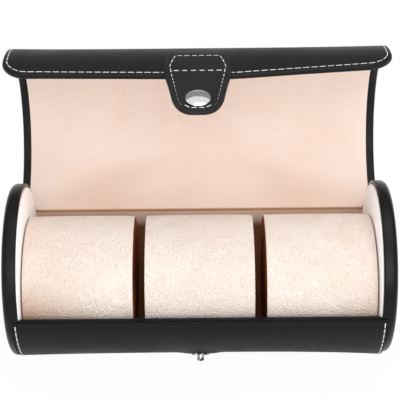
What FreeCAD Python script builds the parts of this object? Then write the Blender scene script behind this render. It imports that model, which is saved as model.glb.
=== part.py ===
import FreeCAD, Part
import math
import os
import Sketcher

# Roll case for three watches: a round tray with end discs, a rolled lid on a leather
# hinge, a press-stud tab and three lift-out pillows.
# X runs along the drum, +Y to the back, +Z up, origin under the drum's axis on the table.
# Lid and tab are drawn closed round the drum, then turned open about their own folds.

Vector = FreeCAD.Vector
doc = FreeCAD.newDocument("WatchRollCase")

# Driving dimensions, in millimetres and degrees
SIZES = {
    "caseLength": 200.0,        # over the outer faces of the two end discs
    "troughRadius": 46.6,       # outside of the tray's leather
    "soleDepth": 5.6,           # how far the flat sole cuts into the round
    "discInset": 0.3,           # leather rim of an end disc inside the tray's radius
    "leatherWall": 1.2,
    "trayBoardWall": 2.0,
    "trayLiningWall": 0.8,
    "frontRimAngle": 174.2,     # angles run from the back, over the top, to the front
    "backRimAngle": 4.3,
    "rimGap": 0.3,
    "endBoardWall": 5.0,
    "endLiningWall": 1.0,
    "discRimWall": 2.1,
    "discEdgeRound": 1.1,
    "trayCoverInset": 0.6,      # tray leather stops this far short of a disc's face
    "basePlateWall": 3.0,
    "basePlateGap": 0.2,
    "pivotAngle": 6.2,          # fold line of the hinge, on the outside of the tray
    "lidOpening": 94.0,
    "lidStartAngle": 7.7,
    "lidLipAngle": 197.0,
    "lidGap": 0.4,              # between the closed lid and the tray
    "lidOverhang": 1.5,         # lid beyond each disc's face
    "lidLiningWall": 0.6,
    "lidBoardWall": 1.6,
    "lipCornerRound": 7.0,
    "turnedEdgeWidth": 4.0,
    "edgeWall": 1.2,
    "foldRadius": 0.9,          # rolled leather on the hinge line
    "foldInset": 7.4,
    "leafWall": 0.6,
    "leafInset": 0.5,           # hinge leaves short of the tray's inner length
    "studFlangeRadius": 4.7,
    "studFlangeWall": 0.7,
    "studPostRadius": 1.75,
    "studBulbRadius": 2.1,
    "studHeight": 4.0,
    "studShankRadius": 1.5,
    "rivetRadius": 4.2,
    "rivetWall": 0.8,
    "tabLeatherWall": 1.2,
    "tabBackingWall": 1.0,
    "tabCurveRadius": 80.0,
    "tabLiftAngle": 34.6,       # how far the free tab stands off its snapped place
    "tabFoldRadius": 1.05,
    "tabFoldWidth": 31.0,
    "tabFoldGap": 0.12,
    "tabRootOffset": 1.5,       # fold of the tab beyond the lip
    "tabRootWidth": 34.0,
    "tabEndWidth": 25.2,
    "tabReach": 31.0,
    "tabTaperReach": 23.5,
    "tabEndRound": 6.0,
    "anchorReach": 20.0,
    "anchorWideReach": 7.5,
    "anchorWidth": 36.0,
    "anchorEndWidth": 29.0,
    "anchorRound": 5.0,
    "capReach": 20.8,           # snap's centre beyond the fold of the tab
    "capRadius": 6.3,
    "capHeight": 1.5,
    "capRimHeight": 0.5,
    "socketRadius": 5.2,
    "socketSeatGap": 0.1,
    "socketBoreRadius": 2.16,
    "eyeletRadius": 2.9,        # hollow shank of the cap, set through both leathers
    "eyeletBoreRadius": 2.3,
    "eyeletPlay": 0.05,
    "capPlateWall": 0.3,
    "cushionGap": 6.0,
    "cushionEndGap": 1.0,
    "cushionWallGap": 2.6,      # to the tray's front lining at its widest
    "cushionSink": 17.6,        # crown below the top of the round
    "cushionForward": 4.5,
    "cushionSeatGap": 0.3,
    "cushionEndDraw": 2.4,      # how far the sides draw in at the corners
    "coverWall": 2.5,           # plush and fibre over the foam core
    "cheekWall": 1.0,
    "overrun": 5.0,
}

sheet = doc.addObject("Spreadsheet::Sheet", "Sizes")
for row, (alias, amount) in enumerate(SIZES.items(), start=1):
    sheet.set("A%d" % row, alias)
    sheet.set("B%d" % row, str(amount))
    sheet.setAlias("B%d" % row, alias)
doc.recompute()


def size(alias):
    return float(getattr(sheet, alias))


# Shared places, written once as formulas of the sheet's cells
AXIS_HEIGHT = "(Sizes.troughRadius - Sizes.soleDepth)"
DISC_RADIUS = "(Sizes.troughRadius - Sizes.discInset)"
COVER_IN = "(Sizes.troughRadius - Sizes.leatherWall)"
BOARD_IN = "(Sizes.troughRadius - Sizes.leatherWall - Sizes.trayBoardWall)"
LINING_IN = "(Sizes.troughRadius - Sizes.leatherWall - Sizes.trayBoardWall - Sizes.trayLiningWall)"
SOLE_COVER = "(Sizes.troughRadius - Sizes.soleDepth - Sizes.leatherWall)"
SOLE_BOARD = "(Sizes.troughRadius - Sizes.soleDepth - Sizes.leatherWall - Sizes.trayBoardWall)"
SOLE_PLATE = ("(Sizes.troughRadius - Sizes.soleDepth - Sizes.leatherWall - Sizes.trayBoardWall"
              " - Sizes.basePlateWall)")
SOLE_LINING = ("(Sizes.troughRadius - Sizes.soleDepth - Sizes.leatherWall - Sizes.trayBoardWall"
               " - Sizes.basePlateWall - Sizes.trayLiningWall)")
INNER_LENGTH = "(Sizes.caseLength - 2 * (Sizes.leatherWall + Sizes.endBoardWall + Sizes.endLiningWall))"
LID_LENGTH = "(Sizes.caseLength + 2 * Sizes.lidOverhang)"
LID_IN = "(Sizes.troughRadius + Sizes.lidGap)"
LID_LINING_OUT = "(Sizes.troughRadius + Sizes.lidGap + Sizes.lidLiningWall)"
LID_BOARD_OUT = "(Sizes.troughRadius + Sizes.lidGap + Sizes.lidLiningWall + Sizes.lidBoardWall)"
LID_OUT = ("(Sizes.troughRadius + Sizes.lidGap + Sizes.lidLiningWall + Sizes.lidBoardWall"
           " + Sizes.leatherWall)")
PIVOT_Y = "(Sizes.troughRadius * cos(Sizes.pivotAngle))"
PIVOT_Z = "(Sizes.troughRadius - Sizes.soleDepth + Sizes.troughRadius * sin(Sizes.pivotAngle))"

# The same places as numbers, for the shapes that code makes
innerLength = size("caseLength") - 2 * (size("leatherWall") + size("endBoardWall") + size("endLiningWall"))
axisHeight = size("troughRadius") - size("soleDepth")
discRadius = size("troughRadius") - size("discInset")
lidInner = size("troughRadius") + size("lidGap")
lidOuter = lidInner + size("lidLiningWall") + size("lidBoardWall") + size("leatherWall")
tabWall = size("tabLeatherWall") + size("tabBackingWall")
axis = Vector(0, 0, axisHeight)
pivot = axis + size("troughRadius") * Vector(
    0, math.cos(math.radians(size("pivotAngle"))), math.sin(math.radians(size("pivotAngle"))))


def radial(angle):
    """Unit vector from the drum's axis at an angle above the back."""
    turn = math.radians(angle)
    return Vector(0, math.cos(turn), math.sin(turn))


def arcAngle(length, radius):
    return math.degrees(length / radius)


lipBeyond = arcAngle(size("tabRootOffset"), lidOuter)
tabAngle = size("lidLipAngle") + lipBeyond
tabAxisRadius = lidOuter + tabWall / 2
tabAxis = axis + tabAxisRadius * radial(tabAngle)

# The snapped tab's curve is centred on the stud's line, so the socket meets the stud squarely
capTurn = arcAngle(size("capReach"), size("tabCurveRadius"))
studAngle = tabAngle + math.degrees(math.asin(
    size("tabCurveRadius") / tabAxisRadius * math.sin(math.radians(capTurn))))
tabCentreRadius = (tabAxisRadius * math.cos(math.radians(studAngle - tabAngle))
                   - size("tabCurveRadius") * math.cos(math.radians(capTurn)))


# Placements: everything on the lid turns open about the hinge, the tab about its own fold too
def turned(centre, angle):
    base = centre - FreeCAD.Rotation(Vector(1, 0, 0), angle).multVec(centre)
    return FreeCAD.Placement(base, FreeCAD.Rotation(Vector(1, 0, 0), angle))


lidPlace = turned(pivot, -size("lidOpening"))
tabPlace = lidPlace.multiply(turned(tabAxis, -size("tabLiftAngle")))


def openWithLid(item):
    """Stands a body drawn about the drum's axis open about the hinge line."""
    item.Placement = lidPlace
    item.setExpression("Placement.Rotation.Angle", "-Sizes.lidOpening")
    item.setExpression("Placement.Base.y", "%s * (1 - cos(Sizes.lidOpening))"
                       " + (%s - %s) * sin(Sizes.lidOpening)" % (PIVOT_Y, AXIS_HEIGHT, PIVOT_Z))
    item.setExpression("Placement.Base.z", "%s + (%s - %s) * cos(Sizes.lidOpening)"
                       " + %s * sin(Sizes.lidOpening)" % (PIVOT_Z, AXIS_HEIGHT, PIVOT_Z, PIVOT_Y))


# Bands: every wall of tray and lid is an arc band on the YZ plane, padded along X
def arcEnds(sketch, arcs):
    for arc in arcs:
        sketch.addConstraint(Sketcher.Constraint("Coincident", arc, 3, -1, 1))


def bind(sketch, number, formula):
    sketch.setExpression("Constraints[%d]" % number, formula)


def polar(radius, angle):
    return Vector(radius * math.cos(math.radians(angle)), radius * math.sin(math.radians(angle)), 0)


def addArc(sketch, radius, start, end):
    circle = Part.Circle(Vector(0, 0, 0), Vector(0, 0, 1), radius)
    return sketch.addGeometry(Part.ArcOfCircle(circle, math.radians(start), math.radians(end)))


def value(formula):
    """A formula of the sheet as a number, for a sketch's first guess."""
    probe = doc.addObject("App::FeaturePython", "probe")
    probe.addProperty("App::PropertyFloat", "Result")
    probe.setExpression("Result", formula)
    doc.recompute()
    number = probe.Result
    doc.removeObject(probe.Name)
    return number


def newSketch(body, name):
    sketch = body.newObject("Sketcher::SketchObject", name)
    plane = [item for item in body.Origin.OriginFeatures if item.Role == "YZ_Plane"][0]
    sketch.AttachmentSupport = [(plane, "")]
    sketch.MapMode = "FlatFace"
    return sketch


def radialLine(sketch, line, angleFormula):
    sketch.addConstraint(Sketcher.Constraint("PointOnObject", -1, 1, line))
    angle = sketch.addConstraint(Sketcher.Constraint("Angle", line, math.radians(value(angleFormula))))
    bind(sketch, angle, "(%s) * 1 deg" % angleFormula)


def bandSketch(body, inner, outer, start, end):
    """A closed band between two radii and two angles about the sketch's origin."""
    sketch = newSketch(body, body.Name + "Profile")
    radiusIn, radiusOut = value(inner), value(outer)
    angleStart, angleEnd = value(start), value(end)
    outerArc = addArc(sketch, radiusOut, angleStart, angleEnd)
    innerArc = addArc(sketch, radiusIn, angleStart, angleEnd)
    startLine = sketch.addGeometry(
        Part.LineSegment(polar(radiusIn, angleStart), polar(radiusOut, angleStart)))
    endLine = sketch.addGeometry(Part.LineSegment(polar(radiusIn, angleEnd), polar(radiusOut, angleEnd)))
    joins = ((startLine, 1, innerArc, 1), (startLine, 2, outerArc, 1),
             (endLine, 1, innerArc, 2), (endLine, 2, outerArc, 2))
    for first, firstEnd, second, secondEnd in joins:
        sketch.addConstraint(Sketcher.Constraint("Coincident", first, firstEnd, second, secondEnd))
    arcEnds(sketch, (outerArc, innerArc))
    for arc, formula, radius in ((outerArc, outer, radiusOut), (innerArc, inner, radiusIn)):
        bind(sketch, sketch.addConstraint(Sketcher.Constraint("Radius", arc, radius)), formula)
    radialLine(sketch, startLine, start)
    radialLine(sketch, endLine, end)
    return sketch


def soledSketch(body, inner, outer, soleIn, soleOut, start, end):
    """A band like bandSketch's, open at the top, whose two arcs run into a flat sole."""
    sketch = newSketch(body, body.Name + "Profile")
    radii = {"out": value(outer), "in": value(inner)}
    soles = {"out": value(soleOut), "in": value(soleIn)}
    formulas = {"out": (outer, soleOut), "in": (inner, soleIn)}
    angleFront, angleBack = value(start), value(end)
    parts = {}
    for side in ("out", "in"):
        dip = math.degrees(math.asin(soles[side] / radii[side]))
        front = addArc(sketch, radii[side], angleFront, 180 + dip)
        back = addArc(sketch, radii[side], 360 - dip, 360 + angleBack)
        flat = sketch.addGeometry(
            Part.LineSegment(polar(radii[side], 180 + dip), polar(radii[side], 360 - dip)))
        sketch.addConstraint(Sketcher.Constraint("Coincident", front, 2, flat, 1))
        sketch.addConstraint(Sketcher.Constraint("Coincident", flat, 2, back, 1))
        arcEnds(sketch, (front, back))
        radiusFormula, soleFormula = formulas[side]
        for arc in (front, back):
            bind(sketch, sketch.addConstraint(Sketcher.Constraint("Radius", arc, radii[side])), radiusFormula)
        sketch.addConstraint(Sketcher.Constraint("Horizontal", flat))
        drop = sketch.addConstraint(Sketcher.Constraint("DistanceY", flat, 1, -1, 1, soles[side]))
        bind(sketch, drop, soleFormula)
        parts[side] = (front, back)
    for index, end_, angle, formula in ((0, 1, angleFront, start), (1, 2, angleBack, end)):
        line = sketch.addGeometry(Part.LineSegment(polar(radii["in"], angle), polar(radii["out"], angle)))
        sketch.addConstraint(Sketcher.Constraint("Coincident", line, 1, parts["in"][index], end_))
        sketch.addConstraint(Sketcher.Constraint("Coincident", line, 2, parts["out"][index], end_))
        radialLine(sketch, line, formula)
    return sketch


def padBody(name, makeSketch, length, cornerRound=None, onLid=False):
    """A PartDesign body: a band sketch padded both ways along X, its lip corners rounded."""
    body = doc.addObject("PartDesign::Body", name)
    sketch = makeSketch(body)
    pad = body.newObject("PartDesign::Pad", name + "Pad")
    pad.Profile = sketch
    pad.SideType = "Symmetric"
    pad.setExpression("Length", length)
    doc.recompute()
    if cornerRound:
        lip = [("Edge%d" % (number + 1)) for number, edge in enumerate(pad.Shape.Edges) if isLipCorner(edge)]
        fillet = body.newObject("PartDesign::Fillet", name + "Corners")
        fillet.Base = (pad, lip)
        fillet.setExpression("Radius", cornerRound)
        doc.recompute()
    if onLid:
        openWithLid(body)
    else:
        body.setExpression("Placement.Base.z", AXIS_HEIGHT)
    doc.recompute()
    return body


def isLipCorner(edge):
    """A straight edge through the wall at the far end of a band, past the drum's front."""
    if edge.Curve.TypeId != "Part::GeomLine":
        return False
    first, last = edge.Vertexes[0].Point, edge.Vertexes[-1].Point
    return abs(first.x - last.x) < size("rimGap") and first.y < 0 and last.y < 0


def band(name, inner, outer, start, end, length, cornerRound=None, onLid=False):
    return padBody(name, lambda body: bandSketch(body, inner, outer, start, end), length, cornerRound, onLid)


def feature(name, shape, place=None):
    """A shape made by code, under its own name."""
    item = doc.addObject("Part::Feature", name)
    item.Shape = shape
    if place:
        item.Placement = place.multiply(item.Placement)
    return item


def cut(name, base, tool):
    item = doc.addObject("Part::Cut", name)
    item.Base = base
    item.Tool = tool
    return item


def common(name, base, tool):
    item = doc.addObject("Part::Common", name)
    item.Base = base
    item.Tool = tool
    return item


def xCylinder(name, radius, length, start, height=AXIS_HEIGHT):
    """A cylinder along X from x = start, about the drum's axis."""
    item = doc.addObject("Part::Cylinder", name)
    item.setExpression("Radius", radius)
    item.setExpression("Height", length)
    item.Placement = FreeCAD.Placement(Vector(0, 0, 0), FreeCAD.Rotation(Vector(0, 1, 0), 90))
    item.setExpression("Placement.Base.x", start)
    item.setExpression("Placement.Base.z", height)
    return item


def slab(name, bottom, top, length="Sizes.caseLength * 2"):
    """A block as wide as the drum, between two heights."""
    item = doc.addObject("Part::Box", name)
    item.setExpression("Length", length)
    item.setExpression("Width", "Sizes.troughRadius * 4")
    item.setExpression("Height", "%s - %s" % (top, bottom))
    item.setExpression("Placement.Base.x", "-(%s) / 2" % length)
    item.setExpression("Placement.Base.y", "-Sizes.troughRadius * 2")
    item.setExpression("Placement.Base.z", bottom)
    return item


def radialPin(angle, inner, outer, radius):
    """A plain round pin along a radius of the drum."""
    return Part.makeCylinder(radius, outer - inner, axis + inner * radial(angle), radial(angle))


# Tray: leather outside, board, base plate and lining, all between the two discs
def tray():
    wallHole = size("studShankRadius") + size("eyeletPlay")
    outer = size("troughRadius")
    coverInner = outer - size("leatherWall")
    boardInner = coverInner - size("trayBoardWall")
    over = size("overrun")
    front = "Sizes.frontRimAngle"
    back = "Sizes.backRimAngle"

    cover = padBody("trough_leather", lambda body: soledSketch(
        body, COVER_IN, "Sizes.troughRadius", SOLE_COVER, AXIS_HEIGHT, front, back),
        "Sizes.caseLength - 2 * Sizes.trayCoverInset")
    hole = feature("studHole", radialPin(studAngle, coverInner - over, outer + over, wallHole))
    cut("trough_cover", cover, hole)

    board = padBody("trough_card", lambda body: soledSketch(
        body, BOARD_IN, COVER_IN, SOLE_BOARD, SOLE_COVER, front, back), INNER_LENGTH)
    rivetSeat = radialPin(studAngle, boardInner - over, boardInner + size("rivetWall"), size("rivetRadius"))
    shankHole = radialPin(studAngle, boardInner - over, coverInner + over, wallHole)
    cut("trough_board", board, feature("rivetSeat", rivetSeat.fuse(shankHole)))

    padBody("trough_lining", lambda body: soledSketch(
        body, LINING_IN, BOARD_IN, SOLE_LINING, SOLE_PLATE, front, back), INNER_LENGTH)

    block = slab("plateSlab", "(%s - %s)" % (AXIS_HEIGHT, SOLE_BOARD),
                 "(%s - %s)" % (AXIS_HEIGHT, SOLE_PLATE))
    drum = xCylinder("plateDrum", BOARD_IN, INNER_LENGTH + " - 2 * Sizes.basePlateGap",
                     "-%s / 2 + Sizes.basePlateGap" % INNER_LENGTH)
    common("base_plate", drum, block)


# End discs: a board in a leather cup with a padded lining on the inside
def endDiscs():
    half = size("caseLength") / 2
    face = half - size("leatherWall")
    boardIn = face - size("endBoardWall")
    liningIn = boardIn - size("endLiningWall")
    under = size("troughRadius") - size("leatherWall")
    liningRadius = discRadius - size("discRimWall")
    over = size("overrun")

    def disc(radius, start, end):
        return Part.makeCylinder(radius, end - start, axis + Vector(start, 0, 0), Vector(1, 0, 0))

    def above(level, shape):
        """Cuts a shape flat at a height above the table."""
        wide = 4 * size("troughRadius")
        corner = Vector(-size("caseLength"), -wide / 2, level - wide)
        tool = Part.makeBox(2 * size("caseLength"), wide, wide, corner)
        return shape.cut(tool)

    # the tray's leather lies over the lower part of the rim, so that part is let in
    wedge = Part.makeCylinder(2 * size("troughRadius"), size("caseLength"), axis, Vector(1, 0, 0))
    wedge = wedge.cut(Part.makeCylinder(under, size("caseLength"), axis, Vector(1, 0, 0)))
    rimTop = axisHeight + size("troughRadius") * math.sin(math.radians(size("backRimAngle"))) + size("rimGap")
    lowered = wedge.common(Part.makeBox(2 * size("caseLength"), 4 * under, rimTop + over,
                                        Vector(0, -2 * under, -over)))
    frontTop = axisHeight + size("troughRadius") * math.sin(math.radians(size("frontRimAngle"))) + size("rimGap")
    frontStep = wedge.common(Part.makeBox(2 * size("caseLength"), 2 * under, frontTop + over,
                                          Vector(0, -2 * under, -over)))

    cup = disc(discRadius, liningIn, half)
    rimEdges = [edge for edge in cup.Edges if edge.Length > discRadius and edge.CenterOfMass.x > face]
    cup = cup.makeFillet(size("discEdgeRound"), rimEdges)
    cup = cup.cut(disc(liningRadius, liningIn - over, face))
    cup = above(size("leatherWall"), cup.cut(lowered).cut(frontStep))
    board = above(2 * size("leatherWall"), disc(liningRadius, boardIn, face))
    lining = above(2 * size("leatherWall"), disc(liningRadius, liningIn, boardIn))
    rightShapes = {"end_cover": cup, "end_board": board, "end_lining": lining}
    for name, shape in rightShapes.items():
        feature(name + "_right", shape.removeSplitter())
        feature(name + "_left", shape.removeSplitter().mirror(Vector(0, 0, 0), Vector(1, 0, 0)))


# Hinge: a rolled fold of leather on the pivot line, with a leaf glued to either side
def hinge():
    fold = doc.addObject("Part::Cylinder", "hinge_fold")
    fold.setExpression("Radius", "Sizes.foldRadius")
    fold.setExpression("Height", "Sizes.caseLength - 2 * Sizes.foldInset")
    fold.Placement = FreeCAD.Placement(Vector(0, 0, 0), FreeCAD.Rotation(Vector(0, 1, 0), 90))
    fold.setExpression("Placement.Base.x", "Sizes.foldInset - Sizes.caseLength / 2")
    fold.setExpression("Placement.Base.y", PIVOT_Y)
    fold.setExpression("Placement.Base.z", PIVOT_Z)

    leafLength = INNER_LENGTH + " - 2 * Sizes.leafInset"
    leafTurn = "Sizes.leafWall / Sizes.troughRadius * 180 / pi"
    band("hinge_leaf_tray", LINING_IN, "Sizes.troughRadius - Sizes.foldRadius",
         "Sizes.backRimAngle", "Sizes.backRimAngle + " + leafTurn, leafLength)
    band("hinge_leaf_lid", "%s + Sizes.lidLiningWall" % LID_IN, LID_OUT,
         "Sizes.lidStartAngle - " + leafTurn, "Sizes.lidStartAngle", leafLength, onLid=True)


# Lid: leather over board with a plush lining, its edges turned in round three sides
def lid():
    start = "Sizes.lidStartAngle"
    lip = "Sizes.lidLipAngle"
    edgeTurn = "Sizes.edgeWall / %s * 180 / pi" % LID_IN
    hemTurn = "Sizes.turnedEdgeWidth / %s * 180 / pi" % LID_IN
    boardLength = LID_LENGTH + " - 2 * Sizes.edgeWall"
    liningLength = LID_LENGTH + " - 2 * Sizes.turnedEdgeWidth"
    boardRound = "Sizes.lipCornerRound - Sizes.edgeWall"
    liningRound = "Sizes.lipCornerRound - Sizes.turnedEdgeWidth"

    band("lid_cover", LID_BOARD_OUT, LID_OUT, start, lip, LID_LENGTH, "Sizes.lipCornerRound", True)
    band("lid_board", LID_LINING_OUT, LID_BOARD_OUT, start, lip + " - " + edgeTurn,
         boardLength, boardRound, True)
    band("lid_lining", LID_IN, LID_LINING_OUT, start, lip + " - " + hemTurn, liningLength, liningRound, True)

    whole = band("hemWhole", LID_IN, LID_BOARD_OUT, start, lip, LID_LENGTH, "Sizes.lipCornerRound", True)
    boardSpace = band("hemBoardSpace", LID_LINING_OUT, LID_BOARD_OUT + " + Sizes.edgeWall",
                      start + " - Sizes.overrun", lip + " - " + edgeTurn, boardLength, boardRound, True)
    liningSpace = band("hemLiningSpace", LID_IN + " - Sizes.edgeWall", LID_LINING_OUT,
                       start + " - Sizes.overrun", lip + " - " + hemTurn, liningLength, liningRound, True)
    cut("lid_turned_edge", cut("hemOverBoard", whole, boardSpace), liningSpace)


def domeArc(radius, base, top):
    """A ball's outline from its rim at base up to its crown at top, centred on the Z axis."""
    ball = (radius * radius + (top - base) ** 2) / (2 * (top - base))
    half = math.asin(radius / ball) / 2
    middle = Vector(ball * math.sin(half), 0, top - ball * (1 - math.cos(half)))
    return Part.Arc(Vector(radius, 0, base), middle, Vector(0, 0, top)).toShape()


# Snap stud: flange, waisted post and bulb on the tray's front, riveted from behind
def snapStud():
    outer = size("troughRadius")
    boardInner = outer - size("leatherWall") - size("trayBoardWall")
    seat = size("rivetWall")
    post = size("studPostRadius")
    bulb = size("studBulbRadius")
    top = size("studHeight")
    flange = size("studFlangeWall")
    neckShare = 0.62
    shoulderShare = 0.78
    base = -(outer - boardInner - seat)
    corners = [
        (0, base), (size("studShankRadius"), base), (size("studShankRadius"), 0),
        (size("studFlangeRadius"), 0), (size("studFlangeRadius") - flange / 2, flange), (post, flange),
        (post, top * neckShare), (bulb, top * shoulderShare)]
    edges = [Part.makeLine(Vector(a[0], 0, a[1]), Vector(b[0], 0, b[1]))
             for a, b in zip(corners, corners[1:])]
    crown = domeArc(bulb, top * shoulderShare, top)
    close = Part.makeLine(Vector(0, 0, top), Vector(0, 0, base))
    profile = Part.Face(Part.Wire(edges + [crown, close]))
    stud = profile.revolve(Vector(0, 0, 0), Vector(0, 0, 1), 360)
    out = radial(studAngle)
    place = FreeCAD.Placement(axis + outer * out, FreeCAD.Rotation(Vector(0, 0, 1), out))
    feature("snap_stud", stud, place)
    rivet = radialPin(studAngle, boardInner, boardInner + seat, size("rivetRadius") - size("eyeletPlay"))
    feature("stud_rivet", rivet)


# Tab outlines, drawn flat: first measure across, second along the tab towards its end
def roundedOutline(points, rounds):
    """A closed wire through the corners, each rounded by its own radius."""
    edges = []
    count = len(points)
    arcs = []
    for index, corner in enumerate(points):
        before = (points[index - 1] - corner).normalize()
        after = (points[(index + 1) % count] - corner).normalize()
        half = before.getAngle(after) / 2
        reach = rounds[index] / math.tan(half)
        middle = (before + after).normalize()
        centreGap = rounds[index] / math.sin(half)
        crown = corner + (centreGap - rounds[index]) * middle
        arcs.append((corner + reach * before, crown, corner + reach * after))
    for index, (first, middle, last) in enumerate(arcs):
        edges.append(Part.Arc(first, middle, last).toShape())
        edges.append(Part.makeLine(last, arcs[(index + 1) % count][0]))
    return Part.Wire(edges)


def prism(outline, origin, along, outward, depth):
    """An outline stood up through a wall: its second measure runs along, its depth outward."""
    across = Vector(1, 0, 0)
    matrix = FreeCAD.Matrix(across.x, along.x, outward.x, origin.x,
                            across.y, along.y, outward.y, origin.y,
                            across.z, along.z, outward.z, origin.z,
                            0, 0, 0, 1)
    face = Part.Face(outline)
    solid = face.extrude(Vector(0, 0, 2 * depth))
    solid.translate(Vector(0, 0, -depth))
    return solid.transformGeometry(matrix) if matrix.determinant() < 0 else placed(solid, matrix)


def placed(solid, matrix):
    solid.Placement = FreeCAD.Placement(matrix).multiply(solid.Placement)
    return solid


def shell(centre, inner, outer, halfWidth):
    """A full round wall along X about a centre line."""
    start = centre - Vector(halfWidth, 0, 0)
    tube = Part.makeCylinder(outer, 2 * halfWidth, start, Vector(1, 0, 0))
    return tube.cut(Part.makeCylinder(inner, 2 * halfWidth, start, Vector(1, 0, 0)))


# Tab: sewn to the lid's leather, folding at the lip, with cap and socket of the snap
def tab():
    clear = size("tabFoldRadius") + size("tabFoldGap")
    over = size("overrun")

    # sewn part on the lid, ending just short of the fold
    middleAngle = size("lidLipAngle") - arcAngle(size("anchorReach") / 2, lidOuter)
    along = radial(middleAngle + 90)
    origin = axis + lidOuter * radial(middleAngle)
    reach = size("anchorReach") / 2
    front = reach + size("tabRootOffset") - clear
    wide = front - size("anchorWideReach")
    half, halfBack = size("anchorWidth") / 2, size("anchorEndWidth") / 2
    halfRoot = size("tabRootWidth") / 2
    corners = [Vector(-halfBack, -reach, 0), Vector(halfBack, -reach, 0), Vector(half, wide, 0),
               Vector(halfRoot, front, 0), Vector(-halfRoot, front, 0), Vector(-half, wide, 0)]
    small = size("tabFoldGap") * 2
    wideRound = size("anchorRound")
    rounds = [wideRound, wideRound, wideRound, small, small, wideRound]
    outline = roundedOutline(corners, rounds)
    wall = shell(axis, lidOuter, lidOuter + tabWall, size("anchorWidth"))
    anchor = wall.common(prism(outline, origin, along, radial(middleAngle), over * 2))
    feature("tab_anchor", anchor, lidPlace)

    fold = Part.makeCylinder(size("tabFoldRadius"), size("tabFoldWidth"),
                             tabAxis - Vector(size("tabFoldWidth") / 2, 0, 0), Vector(1, 0, 0))
    feature("tab_fold", fold, lidPlace)

    # free part, gently curved, drawn snapped down onto the stud
    curve = size("tabCurveRadius")
    studDirection = radial(studAngle)
    rootNormal = FreeCAD.Rotation(Vector(1, 0, 0), -capTurn).multVec(studDirection)
    curveCentre = axis + tabCentreRadius * studDirection
    inner = curve - tabWall / 2
    split = inner + size("tabBackingWall")
    outer = curve + tabWall / 2
    midTurn = arcAngle(size("tabReach") / 2, curve)
    midNormal = FreeCAD.Rotation(Vector(1, 0, 0), midTurn).multVec(rootNormal)
    midAlong = FreeCAD.Rotation(Vector(1, 0, 0), midTurn + 90).multVec(rootNormal)
    middle = curveCentre + curve * midNormal
    reach = size("tabReach") / 2
    root = clear - reach
    taper = size("tabTaperReach") - reach
    halfEnd = size("tabEndWidth") / 2
    endRound = size("tabEndRound")
    noseShare = 0.55
    halfNose = halfEnd * noseShare
    corners = [Vector(-halfRoot, root, 0), Vector(halfRoot, root, 0), Vector(halfEnd, taper, 0),
               Vector(halfNose, reach, 0), Vector(-halfNose, reach, 0), Vector(-halfEnd, taper, 0)]
    rounds = [small, small, endRound, endRound, endRound, endRound]
    outline = roundedOutline(corners, rounds)
    stamp = prism(outline, middle, midAlong, midNormal, over)
    capNormal = studDirection
    capCentre = curveCentre + curve * capNormal
    eyeletHole = size("eyeletRadius") + size("eyeletPlay")
    eyelet = Part.makeCylinder(eyeletHole, 2 * over, capCentre - over * capNormal, capNormal)
    layers = {"tab_backing": (inner, split), "tab_leather": (split, outer)}
    for name, (low, high) in layers.items():
        flap = shell(curveCentre, low, high, size("anchorWidth")).common(stamp).cut(eyelet)
        feature(name, flap, tabPlace)

    capBase = capCentre + (tabWall / 2 + crownGap(size("capRadius"), curve)) * capNormal
    feature("snap_cap", capShape(), tabPlace.multiply(
        FreeCAD.Placement(capBase, FreeCAD.Rotation(Vector(0, 0, 1), capNormal))))
    socketTop = capCentre - (tabWall / 2 + crownGap(size("socketRadius"), -curve)) * capNormal
    mouthRadius = size("troughRadius") + size("studFlangeWall") + size("socketSeatGap")
    socketHeight = (socketTop - axis).dot(studDirection) - mouthRadius
    feature("snap_socket", socketShape(socketHeight), tabPlace.multiply(
        FreeCAD.Placement(socketTop, FreeCAD.Rotation(Vector(0, 0, 1), capNormal))))
    print("stud at %.2f degrees, socket %.2f mm high" % (studAngle, socketHeight))


def crownGap(radius, curve):
    """How far a flat round face must stand off a curved wall to touch it along one line only."""
    return 0.0 if curve > 0 else abs(curve) - math.sqrt(curve * curve - radius * radius)


def capShape():
    """Domed cap with a short rim, hollow shank below through both leathers."""
    radius, rim, crown = size("capRadius"), size("capRimHeight"), size("capHeight")
    shank, bore = size("eyeletRadius"), size("eyeletBoreRadius")
    depth, plate = tabWall, size("capPlateWall")
    corners = [(0, -plate), (bore, -plate), (bore, -depth), (shank, -depth),
               (shank, 0), (radius, 0), (radius, rim)]
    edges = [Part.makeLine(Vector(a[0], 0, a[1]), Vector(b[0], 0, b[1]))
             for a, b in zip(corners, corners[1:])]
    edges.append(domeArc(radius, rim, crown))
    edges.append(Part.makeLine(Vector(0, 0, crown), Vector(0, 0, -plate)))
    return Part.Face(Part.Wire(edges)).revolve(Vector(0, 0, 0), Vector(0, 0, 1), 360)


def socketShape(height):
    """Ring-shaped socket whose blind bore takes the stud's bulb."""
    radius, bore = size("socketRadius"), size("socketBoreRadius")
    ring = Part.makeCylinder(radius, height, Vector(0, 0, -height))
    edges = [edge for edge in ring.Edges if abs(edge.CenterOfMass.z + height) < size("rimGap")]
    ring = ring.makeChamfer(height / 4, edges)
    return ring.cut(Part.makeCylinder(bore, 2 * height, Vector(0, 0, -2 * height)))


# Pillows: a plush cover with a crowned oval section round a foam core, and two cheek cards
def oval(halfDepth, halfHeight, centre, x):
    """Four arcs through the corners and diagonals of an ellipse, as one wire at x."""
    def point(angle):
        turn = math.radians(angle)
        return Vector(x, centre[0] + halfDepth * math.cos(turn), centre[1] + halfHeight * math.sin(turn))
    quarters = (45, 135, 225, 315)
    return Part.Wire([Part.Arc(point(a), point(a + 45), point(a + 90)).toShape() for a in quarters])


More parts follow.
